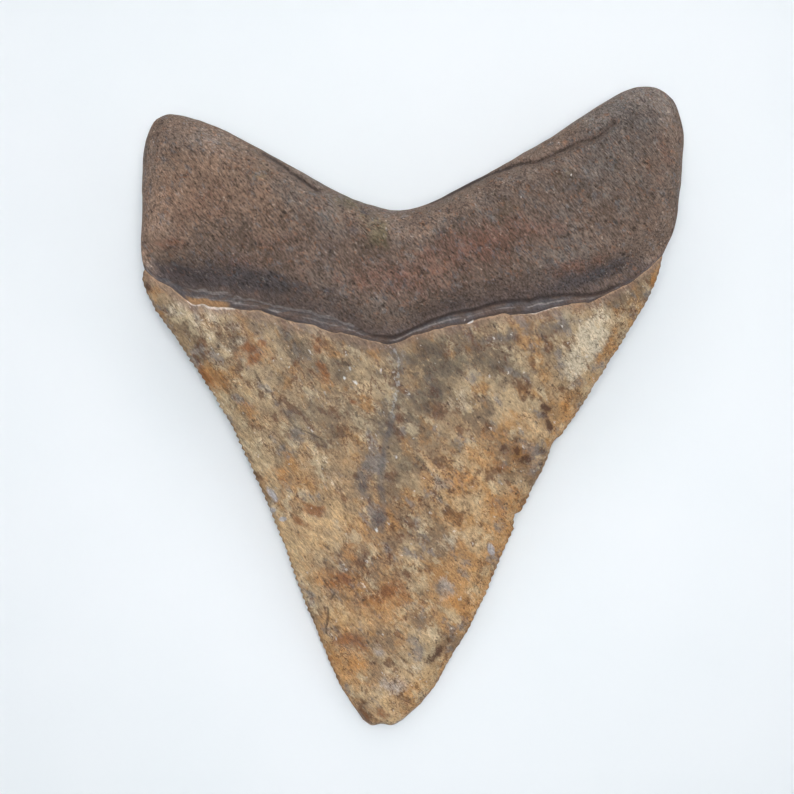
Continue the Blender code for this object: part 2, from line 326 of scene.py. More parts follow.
def make_face(side):
    """Crown and root grids joined at the margin, with heights and distances in mm."""
    margin = LIP_MARGIN if side > 0 else TONGUE_MARGIN
    crown = blended_grid(TIP, margin, LEFT_EDGE, RIGHT_EDGE, across, crown_rows)
    root = blended_grid(margin, BASAL_EDGE, LEFT_SIDE, RIGHT_SIDE, across, root_rows)
    crown_z = crown_heights(crown, side)
    column = np.linalg.norm(root[-1] - root[0], axis=-1)
    past = root_rows[:, None] * column[None, :]
    inward = distance_to(root_rim, root)
    climb = smoothstep(root_rows[:, None] * ROOT_LENGTH, 1.6, 6.0)
    root_z = (1 - climb) * crown_z[-1][None, :] + climb * root_heights(root, inward, side)
    if side > 0:
        width = np.interp(root[0][:, 0], *zip(*NECK_WIDTHS))[None, :]
        width = width * (1.0 + 0.16 * noise(np.pad(root[0] / 1.3, ((0, 0), (0, 1))), 1.0, 71, 2))
    else:
        width = TONGUE_NECK * lens(across, 2.0)[None, :] + 0.2
    sunk = smoothstep(past, 0.0, 0.3) * (1 - smoothstep(past, width - 0.25, width + 0.3))
    ledge = bell(past - width - 0.1, 0.3) * lens(across, 6.0)[None, :]
    root_z = root_z - side * (NECK_DEPTH * sunk * lens(across, 6.0)[None, :] - 0.12 * ledge)
    before = -(1 - crown_rows)[:, None] * CROWN_LENGTH * np.ones_like(across)[None, :]
    to_edge = np.minimum(across, 1 - across)[None, :] * np.linalg.norm(
        crown[:, -1] - crown[:, 0], axis=-1
    )[:, None]
    face = {
        "plan": np.concatenate([crown, root[1:]]),
        "z": np.concatenate([crown_z, root_z[1:]]),
        "from_margin": np.concatenate([before, past[1:]]),
        "neck_width": np.concatenate([0 * before + width, 0 * past[1:] + width]),
        "from_edge": np.concatenate([to_edge, FAR + 0 * past[1:]]),
        "from_rim": np.concatenate([FAR + 0 * before, inward[1:]]),
    }
    on_rim = np.zeros(face["z"].shape, dtype=bool)
    on_rim[0, :] = on_rim[-1, :] = True
    on_rim[:, 0] = on_rim[:, -1] = True
    face["z"] = np.where(on_rim, rim_level(face["plan"][..., 1]), face["z"])
    if side < 0:
        face["z"] = np.maximum(face["z"], 0.0)
    return face


lip, tongue = make_face(+1), make_face(-1)
print("lip face:", lip["z"].shape, "highest point", round(float(lip["z"].max()), 2), "mm")

# %% [markdown]
# ## Serrations and chips
# The serrations are regular and about 0.93 mm apart. Each is a crest that
# fades within half a millimetre of the edge, so a cosine along the edge times
# an exponential across it gives them. Three chips have broken a few out of
# the right edge.

# %% Cut the edges
SERRATION_HEIGHT = 0.24
SERRATION_REACH, CHIP_REACH, MARGIN_REACH = 0.45, 1.2, 0.7
MARGIN_WANDER = 0.22
# Each chip by its y, its depth, and how far it fades towards the root and towards the tip.
CHIPS = [(-4.2, 0.60, 0.25, 3.5), (-14.6, 0.70, 0.30, 2.0), (-33.6, 0.25, 0.9, 0.9)]


def cut_edges(face, side):
    """Shift points outward by a cosine of the serration's phase, fading inward."""
    x, y = face["plan"][..., 0], face["plan"][..., 1]
    rows = len(face["z"])
    phase = np.zeros(rows)
    phase[: margin_row + 1] = (crown_rows - SERRATED_FROM) / (1 - SERRATED_FROM) * SERRATIONS
    worn = np.minimum(0.15 + phase / 24.0, 0.35 + (SERRATIONS - phase) / 9.0)
    strength = np.where((phase > 0) & (phase < SERRATIONS), np.minimum(1.0, worn), 0.0)
    wave = -np.cos(2 * np.pi * phase) * strength
    fade = np.exp(-face["from_edge"] / SERRATION_REACH)
    middle = 0.5 * (x[:, :1] + x[:, -1:])
    outward = np.sign(x - middle)
    uneven = noise(np.stack([9.0 * outward, y, 0 * y], axis=-1), 1.6, 91, 3) * (strength > 0)[:, None]
    high = SERRATION_HEIGHT * np.where(outward > 0, 0.65, 1.1)
    shift = (0.5 * high * wave[:, None] * (1 + 0.5 * uneven) + 0.10 * uneven) * fade
    chip = sum(
        deep * np.clip(1 - np.maximum((y - at) / above, (at - y) / below), 0, 1)
        for at, deep, above, below in CHIPS
    )
    chip = chip * np.exp(-face["from_edge"] / CHIP_REACH) * (outward > 0)
    face["plan"][..., 0] = x + outward * (shift - chip)
    near = np.exp(-np.abs(face["from_margin"]) / MARGIN_REACH) * lens(across, 8.0)[None, :]
    wander = noise(np.stack([x, 0 * x, 0 * x], axis=-1), 1.5, 93, 3)
    face["plan"][..., 1] = y + MARGIN_WANDER * wander * near
    inner = face["from_edge"] > 0
    face["z"] = face["z"] + side * 0.07 * wave[:, None] * fade * inner * (face["from_edge"] < 3)


cut_edges(lip, +1)
cut_edges(tongue, -1)

# %% [markdown]
# ## Closing the solid
# The lip face has twice the columns of the tongue face, because it is the one
# that is looked at. Both use the same points along the outline, so the seam
# is closed. At the tip and the basal edge each cell of the tongue face spans
# two cells of the lip face, and takes the point between them as a fifth
# corner.

# %% Join the two faces into one mesh
rows, columns = lip["z"].shape
top = np.arange(rows * columns).reshape(rows, columns)
bottom = np.zeros((rows, COLUMNS // 2 + 1), dtype=int)
bottom[0], bottom[-1] = top[0, ::2], top[-1, ::2]
bottom[:, 0], bottom[:, -1] = top[:, 0], top[:, -1]
inner_shape = (rows - 2, bottom.shape[1] - 2)
bottom[1:-1, 1:-1] = rows * columns + np.arange(inner_shape[0] * inner_shape[1]).reshape(inner_shape)


def gather(name):
    """A value for every vertex: the whole lip face, then the inside of the tongue face."""
    return np.concatenate([
        lip[name].reshape(-1, *lip[name].shape[2:]),
        tongue[name][1:-1, 2:-2:2].reshape(-1, *tongue[name].shape[2:]),
    ])


def quads(grid, upward):
    """The cells of a grid of vertex numbers, wound to face up or down."""
    a, b, c, d = grid[:-1, :-1], grid[:-1, 1:], grid[1:, 1:], grid[1:, :-1]
    order = (a, b, c, d) if upward else (a, d, c, b)
    return np.stack([corner.reshape(-1) for corner in order], axis=-1)


tip_cells = np.stack(
    [bottom[0, :-1], bottom[1, :-1], bottom[1, 1:], bottom[0, 1:], top[0, 1::2]], axis=-1
)
basal_cells = np.stack(
    [bottom[-2, :-1], bottom[-1, :-1], top[-1, 1::2], bottom[-1, 1:], bottom[-2, 1:]], axis=-1
)
cells = [quads(top, True), quads(bottom[1:-1], False), tip_cells, basal_cells]
row_of = [
    np.repeat(np.arange(rows - 1), columns - 1),
    np.repeat(np.arange(1, rows - 2), bottom.shape[1] - 1),
    np.zeros(len(tip_cells), dtype=int),
    np.full(len(basal_cells), rows - 2),
]
is_root = np.concatenate(row_of) >= margin_row
plan, height = gather("plan"), gather("z")
points = np.column_stack([plan, height])
side_of = np.concatenate([np.ones(rows * columns), -np.ones(inner_shape[0] * inner_shape[1])])
cad_middle = 500.0 * (np.array(cad_low) + np.array(cad_high))
shift = cad_middle[:2] - 0.5 * (plan.min(axis=0) + plan.max(axis=0))
print("vertices:", len(points), "shift onto the packed solid, mm:", np.round(shift, 3))


def new_mesh(name):
    """One mesh from the vertex and face arrays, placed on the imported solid, in metres."""
    mesh = bpy.data.meshes.new(name)
    placed = points.copy()
    placed[:, :2] += shift
    faces = [face for group in cells for face in group.tolist()]
    mesh.from_pydata((placed * MM).tolist(), [], faces)
    mesh.polygons.foreach_set("material_index", is_root.astype(np.int32))
    mesh.polygons.foreach_set("use_smooth", np.ones(len(faces), dtype=bool))
    mesh.update()
    return mesh


surface = new_mesh("tooth_surface")

# %% [markdown]
# ## Wear and relief
# The enamel is nearly smooth, with slow ripples. The root is bone-like: it is
# uneven at the scale of a few millimetres and grainy below one. Each point
# moves along its own normal, so the rim is roughened as well. Listed one by
# one come the marks that belong to this tooth: a groove down the crown's
# middle, a flake off the left edge, small pits, and the hole in the boss
# underneath where blood vessels entered the root.

# %% Relief along the normals
from_margin, from_edge = gather("from_margin"), gather("from_edge")
neck_width = gather("neck_width")
is_lip = side_of > 0
on_root = smoothstep(from_margin - neck_width, 0.0, 1.5)
on_crown = smoothstep(-from_margin, 0.0, 1.2)


def ellipse(at, x, y, half_long, half_short, turn):
    """Squared distance from an ellipse's middle, along and across it, 1 on its outline."""
    dx, dy = at[:, 0] - x, at[:, 1] - y
    c, s = np.cos(np.radians(turn)), np.sin(np.radians(turn))
    return ((dx * c + dy * s) / half_long) ** 2 + ((dy * c - dx * s) / half_short) ** 2


def marks(list_of_marks):
    """A sum of turned elliptical bumps, each by place, half sizes, turn and height."""
    total = np.zeros(len(points))
    for *shape, high in list_of_marks:
        total += high * np.exp(-ellipse(plan, *shape))
    return total


def away_from(paths, at):
    """Distance in plan of each vertex of the lip face from the nearest of some curves, in mm."""
    nearest = np.full(len(at), FAR)
    for path in paths:
        drawn = curve_at(path, fine)
        found = [distance_to(drawn, [part])[0] for part in np.array_split(at, 100)]
        nearest = np.minimum(nearest, np.concatenate(found))
    return np.where(is_lip, nearest, FAR)


GROOVE = [(-3.3, 8.7), (-2.5, 8.0), (-2.1, 6.9), (-2.0, 5.0), (-2.1, 2.7), (-2.4, 0.8), (-2.9, -1.1)]
LIP_MARKS = [
    (-1.5, 4.0, 4.0, 0.45, 93, 0.08),       # the low ridge beside the groove
    (-19.6, -12.4, 1.9, 1.0, 62, -0.30),    # flake off the left edge
    (11.0, -19.6, 1.2, 0.5, 108, -0.16),    # small flake near the right edge
    (-11.5, -29.8, 2.0, 0.16, 95, -0.22),   # cracks near the lower left edge
    (-11.0, -26.2, 0.7, 0.16, 120, -0.20),
    (-11.1, 15.9, 0.35, 0.3, 0, -0.35),     # pits in the root
    (3.9, 23.6, 0.9, 0.5, 20, -0.25),
    (-6.2, 26.6, 0.5, 0.3, 0, -0.30),
    (-24.5, 30.0, 0.35, 0.3, 0, -0.25),
    (27.0, 27.0, 0.35, 0.3, 0, -0.25),
    (-8.7, 5.2, 0.5, 0.3, 120, -0.15),      # pits in the enamel
    (-7.8, 3.7, 0.6, 0.35, 120, -0.15),
    (-6.0, 2.2, 0.5, 0.3, 120, -0.15),
    (15.0, -7.2, 1.6, 1.0, 30, -0.14),
    (18.2, -1.2, 0.9, 0.7, 0, -0.12),
    (3.2, -34.0, 1.4, 0.9, 50, -0.14),
]
TONGUE_MARKS = [
    (1.2, 12.6, 0.7, 0.55, 15, -1.4),       # the nutrient hole
    (-4.5, 10.9, 0.4, 0.35, 0, -0.6),
    (-1.5, -12.0, 14.0, 0.5, 88, -0.10),    # faint furrow up the crown
    (-14.0, 16.0, 0.6, 0.3, 30, -0.4),
    (12.0, 17.0, 0.7, 0.3, -35, -0.4),
]
rough = 0.17 * noise(points, 8.0, 11) + 0.07 * noise(points, 2.6, 12) + 0.035 * noise(points, 0.9, 13)
ripple = 0.08 * noise(points, 9.0, 21) + 0.03 * noise(points, 2.4, 22) + 0.012 * noise(points, 0.8, 23)
relief = on_root * rough + on_crown * ripple * (1 - np.exp(-from_edge / 1.5))
relief += 0.02 * noise(points, 1.5, 31)
relief += np.where(is_lip, marks(LIP_MARKS), marks(TONGUE_MARKS))
relief -= 0.20 * bell(away_from([GROOVE], plan), 0.25)

normals = np.empty(3 * len(points), dtype=np.float32)
surface.vertex_normals.foreach_get("vector", normals)
placed = np.empty(3 * len(points), dtype=np.float32)
surface.vertices.foreach_get("co", placed)
moved = placed.reshape(-1, 3) + MM * relief[:, None] * normals.reshape(-1, 3)
moved = np.clip(moved, np.array(cad_low), np.array(cad_high)).astype(np.float32)
surface.vertices.foreach_set("co", moved.reshape(-1))
surface.update()
print("relief from", round(float(relief.min()), 2), "to", round(float(relief.max()), 2), "mm")

# %% [markdown]
# ## Stains
# The colours of a fossil are minerals: iron makes ochre and rust, manganese
# and phosphate make grey and near black, and clean enamel stays cream. A
# stain has a place but no drawn edge. So each is a soft patch, bent out of
# shape by noise and kept as a number on each vertex. The materials then
# break its edge up finely. A patch is given by its middle, its two half
# sizes and its turn, all in mm and degrees, and its strength.

# %% Where each mineral lies, in millimetres
LIP_STAINS = {
    "ochre": [
        (-34.8, 15.6, 1.9, 1.2, -45, 0.9), (32.6, 17.7, 3.0, 1.1, 57, 0.9),
        (26.8, 8.3, 5.0, 1.1, 58, 0.9), (21.3, -0.0, 4.1, 1.9, 58, 0.8),
        (-21.3, 7.4, 2.2, 1.9, 0, 0.8), (-11.6, 3.9, 1.5, 2.8, 15, 0.7),
        (-27.5, 4.7, 2.5, 1.2, -58, 1.0), (-22.8, -0.6, 3.9, 1.8, -60, 0.8),
        (-18.5, -10.2, 2.5, 2.1, 0, 0.75), (6.9, -10.0, 3.3, 2.1, 0, 0.8),
        (13.5, -14.8, 3.9, 2.8, 60, 0.9), (9.7, -3.1, 3.6, 2.8, 0, 0.45),
        (4.6, -14.8, 4.4, 2.2, 10, 0.55), (-8.3, -19.4, 3.0, 1.9, 0, 0.7),
        (-10.6, -24.0, 2.8, 1.8, 0, 0.9), (-3.3, -26.5, 3.9, 2.2, 5, 0.9),
        (-9.3, -34.1, 2.8, 2.1, 0, 1.0), (-1.4, -32.1, 3.0, 2.3, 0, 0.6),
        (5.9, -27.2, 2.2, 2.8, 60, 0.6), (14.9, -6.5, 2.8, 3.6, 60, 0.7),
        (-15.5, -21.0, 1.4, 3.6, 65, 0.5), (8.8, -21.0, 1.7, 3.9, 62, 0.6),
        (-15.5, 11.9, 2.8, 1.1, -12, 0.5), (-27.8, 15.3, 2.3, 0.7, -22, 1.0),
        (-4.4, -20.5, 1.7, 1.9, 0, 0.5), (3.2, 0.4, 0.6, 1.9, -60, 0.5), (-8.1, 0.8, 0.6, 0.4, 0, 1.0),
        (-8.6, -35.1, 1.9, 1.2, 20, 0.9),
    ],
    "sand": [
        (-13.3, -16.9, 4.1, 7.7, -66, 0.95), (-9.3, -29.6, 3.6, 3.6, 0, 0.6),
        (-5.0, -40.1, 3.3, 2.2, 0, 0.9), (1.8, -37.6, 3.0, 2.2, 50, 0.6),
        (-27.2, 11.4, 3.6, 2.2, -40, 0.4), (-15.5, -6.5, 2.8, 2.2, -50, 0.5),
        (8.0, -21.0, 3.0, 4.1, 60, 0.5), (-0.3, -27.9, 2.8, 1.9, 0, 0.4),
        (-23.1, 1.8, 2.2, 1.7, -50, 0.4),
    ],
    "rust": [
        (-22.9, 7.7, 1.5, 1.0, 40, 0.9), (-20.7, 8.7, 1.0, 0.7, 0, 0.7),
        (-13.0, 9.0, 0.7, 1.5, 20, 0.9), (-11.9, 5.0, 0.7, 1.7, 20, 0.8),
        (-27.9, 4.1, 1.7, 0.8, -60, 0.7), (-18.5, -11.1, 1.9, 0.7, -20, 0.8),
        (-14.0, -13.7, 2.1, 0.6, -10, 0.8), (-9.9, -23.5, 2.1, 1.2, 10, 0.9),
        (-3.6, -25.7, 3.0, 1.4, 10, 1.0), (-8.6, -32.2, 2.3, 0.8, -10, 0.9),
        (-7.7, 0.8, 0.7, 0.6, -30, 0.9), (-4.7, -42.6, 1.8, 0.8, 0, 0.8),
        (15.7, -13.4, 1.2, 1.1, 0, 0.6), (12.2, -7.5, 1.2, 1.9, 60, 0.5),
        (-17.1, -4.4, 1.1, 0.8, -50, 0.5), (-11.3, -34.1, 1.1, 1.4, 0, 0.6),
        (-15.5, -17.6, 1.1, 1.9, 60, 0.4), (8.0, -32.1, 0.8, 1.7, 60, 0.4),
        (-21.8, 6.5, 1.2, 0.6, 55, 0.9), (-19.3, 6.8, 1.0, 0.4, 60, 0.8),
        (-13.1, 9.4, 1.2, 0.4, -70, 0.9), (-12.3, 5.5, 1.2, 0.6, 60, 0.9),
        (-27.8, 4.4, 1.9, 0.7, -58, 1.0), (-13.7, -12.9, 1.7, 0.4, -15, 0.9),
        (-15.1, -15.6, 1.7, 0.6, -30, 0.7),
    ],
    "umber": [
        (17.1, 2.9, 0.6, 0.4, 0, 0.9), (15.2, 1.8, 0.7, 0.4, -40, 0.9), (18.1, -6.1, 0.8, 0.6, 0, 0.8),
        (3.2, -34.1, 1.5, 1.0, 50, 0.9), (9.9, -26.8, 0.8, 0.7, 0, 0.6),
        (-3.3, -42.8, 1.5, 0.6, 0, 0.6), (-36.2, 16.3, 0.8, 1.2, 0, 0.6),
        (-5.2, -35.1, 0.8, 1.1, 0, 0.5), (20.2, 5.0, 0.8, 0.6, 0, 0.5), (12.2, -5.8, 0.7, 0.6, 0, 0.6),
        (2.5, 1.8, 0.8, 1.4, 0, 0.5), (14.1, -6.2, 0.8, 0.7, 0, 1.0), (15.3, -7.5, 1.2, 0.7, 20, 1.0),
        (18.4, -1.4, 0.7, 0.4, -50, 1.0), (19.1, -2.8, 0.8, 0.4, -60, 1.0),
        (18.6, -0.3, 0.8, 0.4, -30, 0.9),
    ],
    "slate": [
        (-6.9, -10.0, 1.2, 3.0, 10, 1.0), (-4.7, -15.5, 1.1, 2.3, -10, 0.9),
        (-3.6, -4.4, 1.0, 3.3, 0, 0.7), (-21.3, 11.0, 2.3, 1.5, 0, 0.6),
        (12.2, 9.7, 5.0, 1.1, 12, 0.8), (20.4, 11.3, 3.3, 1.1, 15, 0.7),
        (-13.0, -13.4, 1.5, 1.1, 0, 0.4), (4.1, -24.5, 2.1, 1.5, 20, 0.75),
        (-15.2, -2.5, 3.6, 1.0, -45, 0.6), (-19.3, -13.0, 0.8, 1.9, -60, 0.7),
        (3.9, -8.6, 1.9, 1.4, -30, 0.5), (-5.0, -39.2, 1.8, 1.2, 0, 0.6),
        (-20.4, 3.9, 0.7, 1.9, -55, 0.5), (-3.0, -9.7, 0.8, 1.4, 0, 0.5),
        (-9.3, 5.0, 1.9, 1.7, 0, 0.4),
    ],
    "olive": [
        (2.5, 6.2, 3.6, 5.0, -10, 1.0), (1.5, 0.8, 2.1, 2.6, 0, 0.85), (9.1, 6.1, 4.7, 2.3, 15, 0.8),
        (14.9, 5.0, 3.0, 1.9, 0, 0.6), (-11.3, -2.4, 5.2, 3.9, -20, 0.8),
        (-9.3, 6.3, 3.3, 2.6, 0, 0.6), (-16.9, 6.3, 2.8, 2.5, 0, 0.5), (3.9, -5.5, 3.9, 3.0, 0, 0.55),
        (-2.8, -5.3, 2.3, 7.5, 0, 0.5), (-21.7, 11.4, 3.0, 2.1, 0, 0.5),
        (-1.0, -8.6, 3.6, 3.6, 0, 0.4), (-15.5, 10.1, 5.5, 1.9, -12, 0.5),
        (-22.4, 4.5, 6.9, 4.1, -55, 0.35), (-3.0, 6.6, 2.8, 3.3, 0, 0.35),
    ],
    "cream": [
        (24.9, 10.3, 3.9, 2.1, 52, 1.0), (22.1, 6.3, 3.0, 1.9, 55, 0.8),
        (-27.6, 12.1, 3.3, 2.2, -40, 0.65), (-23.5, 8.7, 2.2, 1.4, 0, 0.4),
        (5.0, -18.9, 2.8, 2.1, 20, 0.5), (1.1, -35.9, 1.5, 1.2, 30, 0.9),
        (-5.2, -39.5, 2.2, 1.2, 0, 0.5), (-11.9, -8.9, 3.0, 1.9, -40, 0.5),
        (-9.5, -16.9, 2.1, 2.2, 0, 0.4), (-15.5, -6.9, 2.1, 1.7, -50, 0.45),
        (6.4, 0.8, 2.8, 1.5, -20, 0.55), (30.4, 14.6, 0.8, 3.0, 60, 0.4),
        (7.7, -26.5, 1.4, 2.2, 60, 0.4), (-11.0, -28.6, 1.9, 2.2, 0, 0.45),
        (-20.4, -5.4, 1.4, 2.8, -60, 0.5), (-32.0, 13.2, 1.4, 1.9, -60, 0.45),
    ],
    "bare": [
        (-19.3, -11.9, 1.4, 0.7, -60, 0.8), (-19.3, -14.1, 0.6, 0.4, 0, 1.0),
        (-17.8, -15.3, 0.6, 0.4, 0, 1.0), (10.9, -19.5, 1.2, 0.6, 112, 1.0),
    ],
    "tawny": [
        (-29.3, 30.1, 7.5, 6.9, 0, 1.0), (-19.6, 26.6, 5.5, 3.3, -25, 0.7),
        (-34.8, 23.2, 2.8, 4.1, 0, 0.6), (2.5, 25.3, 5.5, 1.7, 15, 0.4),
    ],
    "reddened": [
        (-1.7, 17.0, 8.8, 2.8, 0, 0.7), (8.0, 21.8, 7.2, 3.0, 15, 0.85),
        (-28.6, 28.0, 6.1, 4.1, 0, 0.5), (-16.9, 21.8, 5.8, 3.3, -10, 0.45),
        (22.5, 19.0, 5.8, 1.4, 20, 0.75), (17.7, 24.6, 5.8, 3.3, 15, 0.45),
        (-32.9, 22.5, 1.8, 1.4, 0, 0.7), (-23.8, 19.3, 4.1, 1.1, -5, 0.6),
        (34.3, 34.2, 1.1, 4.7, 0, 0.5),
    ],
    "blue_grey": [
        (-30.7, 18.1, 4.7, 1.2, -10, 1.0), (-21.7, 17.1, 8.6, 1.5, -6, 1.0),
        (-25.8, 19.9, 5.8, 1.7, -5, 0.5), (24.6, 17.7, 7.2, 1.5, 20, 0.95),
        (9.4, 14.1, 8.8, 1.0, 13, 0.6), (-11.3, 21.8, 1.7, 2.5, -30, 0.55),
        (3.9, 23.5, 1.0, 0.6, 20, 1.0), (-11.0, 15.9, 0.6, 0.4, 0, 1.0),
        (-8.3, 23.5, 0.7, 0.8, 0, 0.6), (-8.6, 27.1, 2.2, 0.6, -30, 0.6),
        (-6.2, 26.6, 0.6, 0.4, 0, 1.0),
    ],
    "greened": [
        (-4.7, 23.5, 2.1, 1.8, 0, 1.0), (-8.3, 27.3, 4.1, 1.2, -30, 0.7),
        (-20.3, 32.0, 3.3, 1.7, -30, 0.45), (20.4, 31.5, 1.9, 1.4, 0, 0.55),
        (26.9, 32.9, 2.5, 1.8, 0, 0.4), (12.2, 26.6, 2.8, 1.4, 20, 0.4),
    ],
    "ashen": [
        (29.4, 39.8, 6.4, 3.9, 30, 0.9), (23.9, 31.5, 8.0, 4.4, 30, 0.55),
        (-29.3, 36.3, 5.2, 2.2, 0, 0.5), (10.8, 28.7, 5.8, 1.7, 28, 0.5),
        (-5.8, 27.7, 5.8, 1.1, -15, 0.6), (-12.7, 30.1, 5.5, 1.1, -30, 0.4),
    ],
    "greyed": [
        (4.6, -24.5, 1.9, 1.5, 80, 0.9), (-3.0, -38.1, 2.2, 1.4, 0, 0.85),
        (-4.8, -33.9, 1.0, 0.8, 0, 0.7), (-24.3, 11.4, 1.4, 1.1, 0, 0.6),
    ],
}
SEAM = [(-2.9, -1.1), (-3.5, -4.4), (-3.9, -6.6), (-4.3, -10.0), (-4.0, -13.4), (-4.1, -16.9)]
CRACKS = [
    [(-11.6, -27.6), (-11.7, -29.3), (-11.9, -31.2)],
    [(-10.8, -25.6), (-11.2, -26.4)],
    [(-21.5, 5.2), (-20.7, 3.6), (-19.6, 2.2)],
    [(-17.8, -0.2), (-15.6, -2.8), (-13.7, -3.6), (-11.9, -4.6)],
    [(-13.0, 10.1), (-12.4, 9.0), (-12.6, 7.7)],
    [(0.4, -6.5), (1.4, -7.5), (2.2, -8.6)],
    [(20.4, 7.7), (21.3, 5.8)],
]
SCRATCHES = [
    [(-8.43, 5.51), (-8.29, 5.10)], [(-8.01, 3.71), (-7.60, 3.30)], [(-4.35, 5.23), (-4.42, 4.54)],
    [(-3.11, 20.57), (-2.90, 20.01)], [(20.03, 36.04), (20.17, 35.76)],
    [(21.55, 31.62), (21.82, 31.20)], [(22.10, 27.20), (22.24, 26.92)],
    [(14.78, 28.58), (14.92, 28.30)], [(7.18, 12.00), (7.46, 11.59)], [(4.97, 37.14), (5.11, 36.86)],
    [(8.15, 11.86), (8.29, 11.73)], [(-1.93, 19.74), (-1.93, 19.60)], [(-9.25, 4.13), (-9.12, 3.99)],
    [(24.72, 35.76), (24.86, 35.62)], [(-2.35, -6.51), (-2.21, -6.78)],
    [(-4.97, -16.59), (-4.83, -16.87)],
]
PATCH_FALL = 0.8           # a patch is at 0.45 of its strength on its ellipse


def bend(amount, size, seed):
    """The plan points pushed about by two slow noises, so that patches lose their shape."""
    still = np.column_stack([plan, np.zeros(len(plan))])
    push = np.column_stack([noise(still, size, seed, 2), noise(still, size, seed + 5, 2)])
    return plan + amount * push


def patches(list_of_patches, at):
    """How strongly each vertex is stained: 1 less the product of what each patch leaves clear."""
    clear = np.ones(len(at))
    for *shape, strength in list_of_patches:
        clear *= 1 - strength * np.exp(-PATCH_FALL * ellipse(at, *shape))
    return 1 - clear


def keep(name, values):
    """Store one number per vertex on the mesh, for the materials to read."""
    surface.attributes.new(name, "FLOAT", "POINT").data.foreach_set("value", values.astype(np.float32))


bent = bend(0.7, 2.6, 41)
for number, (name, where) in enumerate(LIP_STAINS.items()):
    on_lip = patches(where, bent if name != "bare" else plan)
    below = smoothstep(noise(points, 6.0, 60 + number, 3), 0.2, 1.2) * (name != "bare")
    keep(name, np.where(is_lip, on_lip, below))
    print(name, "covers", round(float(on_lip[is_lip].mean()), 2), "of the lip face")

shaken = bend(0.12, 0.9, 51)
keep("from_margin", from_margin)
keep("from_edge", from_edge)
keep("in_neck", from_margin / np.maximum(neck_width, 0.4))
upper_ledge, lower_ledge = np.abs(from_margin - neck_width), np.abs(from_margin - 0.5 * neck_width)
on_left = smoothstep(-plan[:, 0], 2.0, 9.0)
# A pale line: on the left it runs along the crest of the ledge as a painted highlight; further right it runs
# along the middle of the neck.
ledge = np.minimum(upper_ledge + 0.3 * (1 - on_left), lower_ledge + 0.10)
ledge += 0.3 * smoothstep(-plan[:, 0], 29.5, 32.0)
has_ledge = neck_width > 0.6
keep("from_ledge_highlight", np.where(has_ledge, ledge, FAR))
# Painted shadow: a dark line along the top of the neck's ledge, strongest on the right of the tooth.
keep("ledge_painted_shadow", np.where(has_ledge, upper_ledge + 0.5 * on_left, FAR))
# The groove and crease distances carry painted shade in the materials: along the groove's sides and in the
# creases.
for name, paths in [("groove", [GROOVE]), ("seam", [SEAM]), ("crack", CRACKS), ("crease", CREASES)]:
    keep("from_" + name, away_from(paths, shaken))
keep("from_scratch", away_from(SCRATCHES, plan))
keep("from_rim", gather("from_rim"))
x, y = plan[:, 0], plan[:, 1]
warm = 0.7 * smoothstep(-y, -8.0, 26.0) + 0.5 * smoothstep(x, 0.0, 12.0) * smoothstep(-y, -6.0, 6.0)
keep("warm", np.clip(warm, 0, 1))
by_margin = 1 - smoothstep(from_margin / np.maximum(neck_width, 0.4), 0.30, 0.62)
keep("sliver", np.where(is_lip, smoothstep(x, -32.5, -29.0) * smoothstep(-x, 22.5, 27.0) * by_margin, 0.0))
# Painted highlight: two stretches of the enamel's upper lip, where its edge faces the light, are marked for
# a brighter line.
lip_painted_highlight = smoothstep(x, -32.0, -30.0) * smoothstep(-x, 23.0, 24.5)
lip_painted_highlight += 0.8 * smoothstep(x, 14.0, 15.5) * smoothstep(-x, -21.5, -20.0)
keep("lip_painted_highlight", np.where(is_lip, lip_painted_highlight, 0.0))

# %% [markdown]
# ## Building materials from nodes
# One function adds any node, sets it up, and either sets or links its inputs.
# Colours are written as they look on a screen and turned into the linear
# values that light is computed in. A stain is laid where its strength on the
# surface plus a fine noise passes a threshold. Its edge is then as ragged as
# the noise, and weak stains break up into flecks.

# %% Helpers for materials


def linear(code):
    """sRGB hex to linear RGBA: divide by 12.92 when dark, otherwise a 2.4 power curve."""
    parts = [int(code[i : i + 2], 16) / 255 for i in (1, 3, 5)]
    return [c / 12.92 if c <= 0.04045 else ((c + 0.055) / 1.055) ** 2.4 for c in parts] + [1.0]


def add(tree, kind, inputs=None, **settings):
    """Add a shader node: settings are its properties, inputs are values or sockets to link."""
    node = tree.nodes.new("ShaderNode" + kind)
    for name, value in settings.items():
        setattr(node, name, value)
    for key, value in (inputs or {}).items():
        if isinstance(value, bpy.types.NodeSocket):
            tree.links.new(value, node.inputs[key])
        else:
            node.inputs[key].default_value = value
    return node


def total(tree, *terms):
    """The sum of several sockets, each given with its weight."""
    so_far = 0.0
    for socket, weight in terms:
        node = add(tree, "Math", {0: socket, 1: weight, 2: so_far}, operation="MULTIPLY_ADD")
        so_far = node.outputs[0]
    return so_far


def grain(tree, place, size, seed, detail=4.0, roughness=0.7):
    """Noise from about -1 to 1 whose largest features are the given size in mm."""
    found = add(
        tree, "TexNoise",
        {"Vector": place, "W": seed, "Scale": 1 / (size * MM), "Detail": detail, "Roughness": roughness},
        noise_dimensions="4D",
    )
    return add(tree, "Math", {0: found.outputs[0], 1: 4.0, 2: -2.0}, operation="MULTIPLY_ADD").outputs[0]


def leaning(tree, place, turn, stretch):
    """Coordinates in which a pattern comes out longer along one direction than across it."""
    return add(
        tree, "Mapping", {0: place, 2: (0.0, 0.0, np.radians(turn)), 3: (stretch, 1.0, 1.0)},
        vector_type="TEXTURE",
    ).outputs[0]


